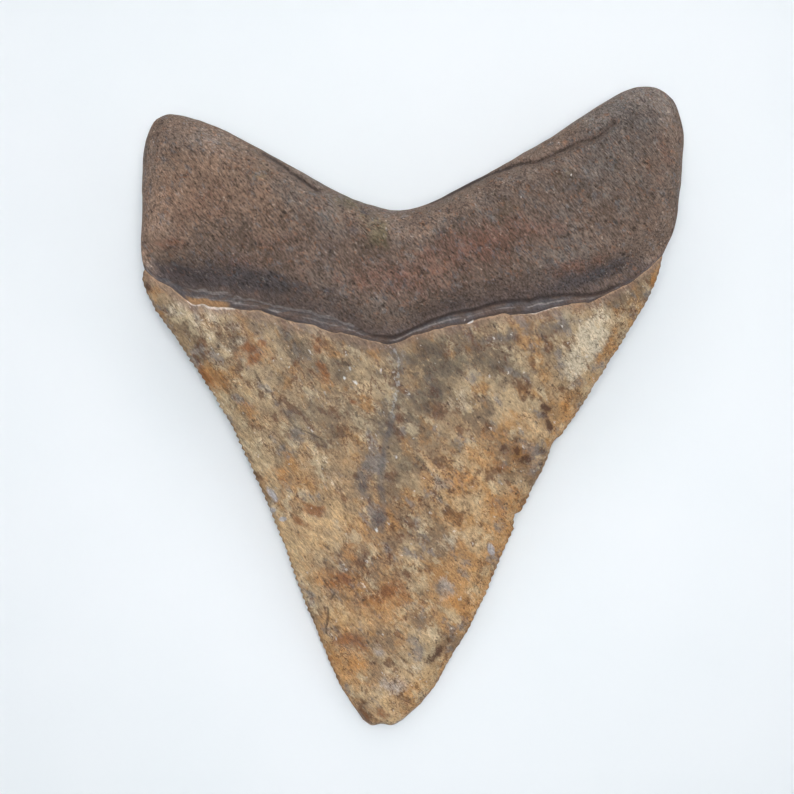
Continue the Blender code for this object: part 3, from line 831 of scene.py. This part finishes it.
def lay(tree, below, code, strength, low, high, most=1.0):
    """Lay a colour over another as strength climbs from low to high, up to most of it."""
    amount = add(
        tree, "MapRange", {0: strength, 1: low, 2: high, 3: 0.0, 4: most},
        interpolation_type="SMOOTHSTEP",
    )
    mixed = add(tree, "Mix", {0: amount.outputs[0], 6: below, 7: linear(code)}, data_type="RGBA")
    return mixed.outputs[2]


def shade(tree, colour, socket, weight):
    """Lighten and darken a colour by 1 plus weight times a noise about 0."""
    factor = add(tree, "Math", {0: socket, 1: weight, 2: 1.0}, operation="MULTIPLY_ADD").outputs[0]
    scaled = add(tree, "VectorMath", {0: colour, 3: factor}, operation="SCALE")
    return scaled.outputs[0]


def read(tree, name):
    """A number that was kept on the vertices."""
    return add(tree, "Attribute", attribute_name=name).outputs["Fac"]


def new_material(name):
    """An empty material with its node tree and its object coordinates."""
    material = bpy.data.materials.new(name)
    material.use_nodes = True
    tree = material.node_tree
    tree.nodes.clear()
    place = add(tree, "TexCoord").outputs["Object"]
    return material, tree, place


def flat(tree, code):
    """A plain colour to start from."""
    socket = add(tree, "RGB").outputs[0]
    socket.default_value = linear(code)
    return socket


def close_off(tree, colour, roughness, height, depth, ior, specular):
    """Finish a material: base colour, roughness, and a bump whose depth is in mm."""
    bump = add(tree, "Bump", {"Height": height, "Distance": depth * MM, "Strength": 1.0})
    inputs = {"Base Color": colour, "Roughness": roughness, "Normal": bump.outputs[0]}
    shader = add(tree, "BsdfPrincipled", {**inputs, "IOR": ior, "Specular IOR Level": specular})
    add(tree, "OutputMaterial", {"Surface": shader.outputs[0]})


# %% [markdown]
# ## Fossil enamel
# Enamel is dense and takes a low polish, so it has a soft broad sheen. Its
# colour is sand and cream clouded with ochre, with greys where manganese
# came in along cracks. Over all that goes a fine grain, drawn out along one
# direction, which is the weathered end of the enamel's own fibres. The
# cutting edges are browner, and the edge that meets the root is a pale line
# where the enamel has chipped back, with a painted highlight on two stretches
# of it where the edge faces the light.

# %% Fossil enamel
enamel, tree, place = new_material("fossil_enamel")
slanted = leaning(tree, place, -52.0, 1.7)
hatched = leaning(tree, place, -52.0, 4.0)
cloud = grain(tree, place, 9.0, 1.0, 3.0)
fleck = grain(tree, slanted, 1.8, 2.0, 5.0, 0.85)
fibre = grain(tree, hatched, 0.24, 3.0, 3.0, 0.8)

colour = flat(tree, "#988164")
warm_here = total(tree, (read(tree, "warm"), 1.0), (cloud, 0.4), (fleck, 0.25))
colour = lay(tree, colour, "#B98D5C", warm_here, 0.1, 0.9, 0.9)
for seed, (size, code, low, high, most) in enumerate([
    (7.0, "#6C5D4D", -0.20, 0.40, 0.75),   # drab clouds
    (4.6, "#BDA582", -0.05, 0.40, 0.70),   # pale clouds
    (3.2, "#A5763F", 0.08, 0.50, 0.62),    # iron clouds
    (2.6, "#7D7875", 0.12, 0.50, 0.70),    # grey clouds
    (1.9, "#C9B796", 0.15, 0.50, 0.60),    # cream flecks
    (1.7, "#5F3D26", 0.16, 0.50, 0.75),    # brown flecks
]):
    own = grain(tree, slanted, size, 10.0 + seed, 5.0, 0.62)
    colour = lay(tree, colour, code, own, low, high, most)
for seed, (name, code, low, high, most) in enumerate([
    ("sand", "#C0A176", 0.30, 1.00, 0.75),
    ("olive", "#574E42", 0.25, 1.10, 0.80),
    ("olive", "#4A423A", 0.70, 1.40, 0.75),
    ("slate", "#625B58", 0.30, 0.95, 0.80),
    ("cream", "#C9BCA4", 0.35, 0.95, 0.85),
    ("greyed", "#A99D92", 0.30, 0.95, 0.85),
    ("ochre", "#AF7C45", 0.38, 1.10, 0.78),
    ("rust", "#82522C", 0.30, 0.95, 0.85),
    ("umber", "#472D23", 0.36, 0.76, 0.88),
]):
    own = grain(tree, slanted, 2.2, 20.0 + seed, 5.0, 0.72)
    streaky = 0.65 if name == "umber" else 0.20
    strength = total(tree, (read(tree, name), 1.0), (own, 0.60), (fibre, streaky))
    colour = lay(tree, colour, code, strength, low, high, most)
for seed, (code, low, high, most) in enumerate([
    ("#BFA27B", 0.20, 0.60, 0.45),         # pale mottling
    ("#54402F", 0.26, 0.60, 0.50),         # dark mottling
]):
    own = grain(tree, slanted, 1.2, 35.0 + seed, 4.0, 0.75)
    colour = lay(tree, colour, code, own, low, high, most)
vein = add(tree, "Math", {0: grain(tree, slanted, 2.4, 30.0, 4.0, 0.75)}, operation="ABSOLUTE").outputs[0]
veined = total(tree, (vein, -1.0), (cloud, 0.10), (fleck, 0.06))
colour = lay(tree, colour, "#573723", veined, -0.04, 0.02, 0.7)
speck = grain(tree, slanted, 0.6, 31.0, 2.0)
colour = lay(tree, colour, "#392A22", speck, 0.50, 0.80, 0.65)
colour = lay(tree, colour, "#CEC8BF", total(tree, (speck, -1.0)), 0.66, 0.90, 0.6)

edge_near = total(tree, (read(tree, "from_edge"), -1.0), (fleck, 0.5))
colour = lay(tree, colour, "#765539", edge_near, -0.6, 0.0, 0.45)
# Painted shade along both sides of the groove down the crown's middle, then a pale grey line along its
# middle.
groove = total(tree, (read(tree, "from_groove"), -1.0), (fleck, 0.45))
colour = lay(tree, colour, "#4E463F", groove, -0.85, -0.30, 0.35)
groove_middle = total(tree, (groove, 1.0), (speck, 0.25))
colour = lay(tree, colour, "#A9A9A6", groove_middle, -0.28, -0.06, 0.60)
seam = total(tree, (read(tree, "from_seam"), -1.0), (fleck, 0.35))
colour = lay(tree, colour, "#585454", seam, -0.7, -0.05, 0.6)
crack = total(tree, (read(tree, "from_crack"), -1.0), (fleck, 0.16))
colour = lay(tree, colour, "#3A2C26", crack, -0.22, -0.04, 0.65)
by_margin = total(tree, (read(tree, "from_margin"), 1.0), (fleck, 0.6))
colour = lay(tree, colour, "#836A5C", by_margin, -1.9, -0.4, 0.55)
lip_line = total(tree, (read(tree, "from_margin"), 1.0), (fleck, 0.30), (cloud, 0.20))
colour = lay(tree, colour, "#A98A6D", lip_line, -0.36, -0.10, 0.55)
# Painted highlight on the lip where its edge faces the light, laid over the pale chipped lip line.
lit_lip = total(tree, (lip_line, 1.0), (read(tree, "lip_painted_highlight"), 0.9))
colour = lay(tree, colour, "#D0C5BA", lit_lip, 0.52, 0.80, 0.80)
bare = total(tree, (read(tree, "bare"), 1.0), (fleck, 0.3))
colour = lay(tree, colour, "#A7A4A6", bare, 0.45, 0.75, 0.9)
scratch = total(tree, (read(tree, "from_scratch"), -1.0), (fleck, 0.08))
colour = lay(tree, colour, "#D4D4D2", scratch, -0.28, -0.10, 0.90)
colour = shade(tree, colour, fleck, 0.33)
colour = shade(tree, colour, fibre, 0.68)
colour = add(tree, "BrightContrast", {0: colour, 1: 0.004, 2: 0.05}).outputs[0]

enamel_rough = add(tree, "MapRange", {0: fleck, 1: -1.0, 2: 1.0, 3: 0.42, 4: 0.60}).outputs[0]
enamel_height = total(tree, (fibre, 0.5), (fleck, 0.8), (crack, 0.6))
close_off(tree, colour, enamel_rough, enamel_height, 0.06, 1.6, 0.5)
surface.materials.append(enamel)
print("enamel nodes:", len(tree.nodes))

# %% [markdown]
# ## Fossil root
# The root is dentine with the open texture of bone, so it has no sheen at all
# and a fine grain of pits. It is red-brown in the middle, greyer on the
# lobes, and near blue-black along the neck, where a band of very thin enamel
# lies below the level of both. That band is smooth, so the flecks and pores
# of the bone stop at it.

# %% Fossil root
root, tree, place = new_material("fossil_root")
slanted = leaning(tree, place, -50.0, 1.6)
hatched = leaning(tree, place, -50.0, 3.6)
cloud = grain(tree, place, 8.0, 41.0, 3.0)
mottle = grain(tree, slanted, 4.0, 44.0, 4.0, 0.75)
fleck = grain(tree, slanted, 1.2, 42.0, 5.0, 0.9)
fibre = grain(tree, hatched, 0.19, 43.0, 3.0, 0.8)

colour = flat(tree, "#6B5A4F")
colour = lay(tree, colour, "#625A54", total(tree, (cloud, 1.0), (fleck, 0.6)), -0.3, 0.8, 0.8)
for seed, (name, code, low, high, most) in enumerate([
    ("tawny", "#826A59", 0.15, 0.95, 0.80),
    ("ashen", "#66615E", 0.20, 0.95, 0.70),
    ("reddened", "#744D3F", 0.25, 1.05, 0.60),
    ("greened", "#655F45", 0.30, 0.95, 0.60),
    ("blue_grey", "#434145", 0.25, 0.95, 0.78),
]):
    own = grain(tree, slanted, 1.6, 50.0 + seed, 5.0, 0.9)
    strength = total(tree, (read(tree, name), 1.0), (own, 0.5), (fibre, 0.15))
    colour = lay(tree, colour, code, strength, low, high, most)
colour = shade(tree, colour, total(tree, (mottle, 0.42), (cloud, 0.26)), 1.0)

neck = read(tree, "in_neck")
on_bone = add(tree, "MapRange", {0: neck, 1: 0.85, 2: 1.3, 3: -0.6, 4: 0.0}).outputs[0]
for seed, (size, code, low, high, most) in enumerate([
    (0.8, "#825B43", 0.22, 0.60, 0.50),    # rusty flecks
    (0.9, "#62666A", 0.20, 0.60, 0.45),    # blue-grey flecks
    (0.8, "#2F2622", 0.22, 0.65, 0.70),    # pores
    (0.5, "#A59689", 0.38, 0.75, 0.60),    # pale grains
]):
    own = grain(tree, slanted, size, 60.0 + seed, 3.0, 0.8)
    colour = lay(tree, colour, code, total(tree, (own, 1.0), (on_bone, 1.0)), low, high, most)
# Painted shade: the root darkens just above the neck, where its face curves down from the bulge.
neck_painted_shade = total(tree, (neck, -1.0), (fleck, 0.6))
colour = lay(tree, colour, "#4E4341", neck_painted_shade, -3.6, -1.2, 0.60)
smooth_band = total(tree, (neck, -1.0), (fleck, 0.10))
streak = grain(tree, leaning(tree, place, 8.0, 5.0), 0.9, 45.0, 3.0)
banded = total(tree, (streak, 1.0), (cloud, 0.9), (fleck, 0.5))
band = lay(tree, flat(tree, "#665349"), "#525155", banded, -0.6, 0.6)
band = shade(tree, band, total(tree, (fleck, 0.35), (mottle, 0.25)), 1.0)
covered = add(tree, "MapRange", {0: smooth_band, 1: -1.12, 2: -0.92, 3: 0.0, 4: 0.72})
colour = add(tree, "Mix", {0: covered.outputs[0], 6: colour, 7: band}, data_type="RGBA").outputs[2]
colour = lay(tree, colour, "#3F3432", total(tree, (smooth_band, 1.0), (streak, 0.3)), -0.35, 0.05, 0.5)
sliver = total(tree, (read(tree, "sliver"), 1.0), (fleck, 0.25))
colour = lay(tree, colour, "#A07B54", sliver, 0.25, 0.80, 0.80)
# Painted shade in the creases along the basal edge: a soft dark band, near black in their middles.
crease = total(tree, (read(tree, "from_crease"), -1.0), (fleck, 0.20))
colour = lay(tree, colour, "#5A4A42", crease, -0.9, -0.2, 0.45)
colour = lay(tree, colour, "#231C1A", total(tree, (crease, 1.0), (mottle, 0.16)), -0.34, 0.0, 0.85)
# Painted shadow: a dark line along the top of the neck's ledge, strongest on the right.
ledge_painted_shadow = total(tree, (read(tree, "ledge_painted_shadow"), -1.0), (fleck, 0.12))
colour = lay(tree, colour, "#332A28", total(tree, (ledge_painted_shadow, 1.0), (mottle, 0.25)), -0.50, -0.05, 0.60)
# Pale line: a painted highlight along the ledge's crest on the left, and a pale line along the middle of the
# neck further right.
ledge = total(tree, (read(tree, "from_ledge_highlight"), -1.0), (streak, 0.16), (cloud, 0.12))
colour = lay(tree, colour, "#938B87", ledge, -0.26, -0.06, 0.62)
scratch = total(tree, (read(tree, "from_scratch"), -1.0), (fleck, 0.08))
colour = lay(tree, colour, "#C4BFBA", scratch, -0.22, -0.08, 0.8)
colour = shade(tree, colour, fleck, 0.25)
# Painted light: the root is lightened towards its rim, by about half at the very edge, fading out over 4.5
# mm.
rim_painted_light = add(tree, "MapRange", {0: read(tree, "from_rim"), 1: 0.0, 2: 4.5, 3: 0.52, 4: 0.0}).outputs[0]
colour = shade(tree, colour, rim_painted_light, 1.0)
grooved = add(tree, "MapRange", {0: neck, 1: 0.85, 2: 1.3, 3: 0.55, 4: 1.0}).outputs[0]
colour = shade(tree, colour, add(tree, "Math", {0: fibre, 1: grooved}, operation="MULTIPLY").outputs[0], 1.1)

root_rough = add(tree, "MapRange", {0: neck, 1: 0.9, 2: 1.3, 3: 0.72, 4: 0.88}).outputs[0]
root_height = total(tree, (fibre, 0.6), (fleck, 0.8), (mottle, 1.0))
close_off(tree, colour, root_rough, root_height, 0.05, 1.5, 0.35)
surface.materials.append(root)
print("root nodes:", len(tree.nodes))

# %% [markdown]
# ## The finished piece
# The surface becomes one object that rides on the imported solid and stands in
# for it wherever the tooth is shown.

# %% The tooth
tooth = bpy.data.objects.new("tooth_finish", surface)
bpy.context.scene.collection.objects.link(tooth)
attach(tooth, "root")
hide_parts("tooth")
triangles = sum(len(polygon.vertices) - 2 for polygon in surface.polygons)
print("triangles:", triangles)

# %% [markdown]
# ## Table, light and camera
# The tooth lies on a smooth, nearly white table. Most of the light comes from
# a large panel overhead, whose beam is narrow, so the table darkens towards
# its corners. A weaker panel beyond the root and a faint one to the right
# give the relief its direction. The camera looks straight down from 600 mm,
# far enough to keep the outline true.

# %% Table
floor_mesh = bpy.data.meshes.new("table_top")
reach = 1.5
floor_mesh.from_pydata(
    [(-reach, -reach, 0.0), (reach, -reach, 0.0), (reach, reach, 0.0), (-reach, reach, 0.0)],
    [], [(0, 1, 2, 3)],
)
laminate, tree, place = new_material("white_laminate")
faint = grain(tree, place, 40.0, 71.0, 2.0)
colour = flat(tree, "#ECF1F5")
colour = lay(tree, colour, "#EAF0F4", faint, -0.6, 0.6, 1.0)
laminate_rough = add(tree, "MapRange", {0: faint, 1: -1.0, 2: 1.0, 3: 0.55, 4: 0.65}).outputs[0]
close_off(tree, colour, laminate_rough, faint, 0.002, 1.45, 0.2)
floor_mesh.materials.append(laminate)
floor = bpy.data.objects.new("table_top", floor_mesh)
bpy.context.scene.collection.objects.link(floor)
floor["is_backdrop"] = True

# %% Lights
VIEW_MIDDLE = (-2.08, 1.5)  # of the view, from the middle of the drawn outline, in mm
centre = np.array([shift[0] + VIEW_MIDDLE[0], shift[1] + VIEW_MIDDLE[1], 0.0])


def panel(name, place, size, watts, tint, spread=180.0):
    """A square area light at a place in mm from the middle, turned to face it."""
    light = bpy.data.lights.new(name, "AREA")
    light.spread = np.radians(spread)
    light.shape = "SQUARE"
    light.size = size * MM
    light.energy = watts
    light.color = linear(tint)[:3]
    lamp = bpy.data.objects.new(name, light)
    lamp.location = (centre + np.array(place)) * MM
    towards = -mathutils.Vector(place).normalized()
    lamp.rotation_euler = towards.to_track_quat("-Z", "Y").to_euler()
    bpy.context.scene.collection.objects.link(lamp)
    lamp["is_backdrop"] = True


panel("panel_overhead", (15, 30, 900), 320, 0.240, "#FFFFFF", 25.0)
panel("panel_beyond", (0, 354, 354), 380, 0.61, "#FFFCF8")
panel("panel_right", (433, 0, 250), 380, 0.27, "#FFFCF8")
world = bpy.data.worlds.new("soft_room")
world.use_nodes = True
world.node_tree.nodes["Background"].inputs[0].default_value = linear("#F2F7FF")
world.node_tree.nodes["Background"].inputs[1].default_value = 0.235
bpy.context.scene.world = world

# %% Camera
CAMERA_HEIGHT = 600.0
LENS, SENSOR = 195.3, 36.0  # in mm, for a view 110.6 mm wide at the table
lens_data = bpy.data.cameras.new("above")
lens_data.lens = LENS
lens_data.sensor_width = SENSOR
camera = bpy.data.objects.new("above", lens_data)
camera.location = (centre + np.array([0.0, 0.0, CAMERA_HEIGHT])) * MM
bpy.context.scene.collection.objects.link(camera)
bpy.context.scene.camera = camera
bpy.context.scene.view_settings.view_transform = "Standard"
bpy.context.scene.view_settings.exposure = 0.0

# %% Sizes
low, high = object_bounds()
print("finished size, mm:", [round(1000 * (b - a), 2) for a, b in zip(low, high)])
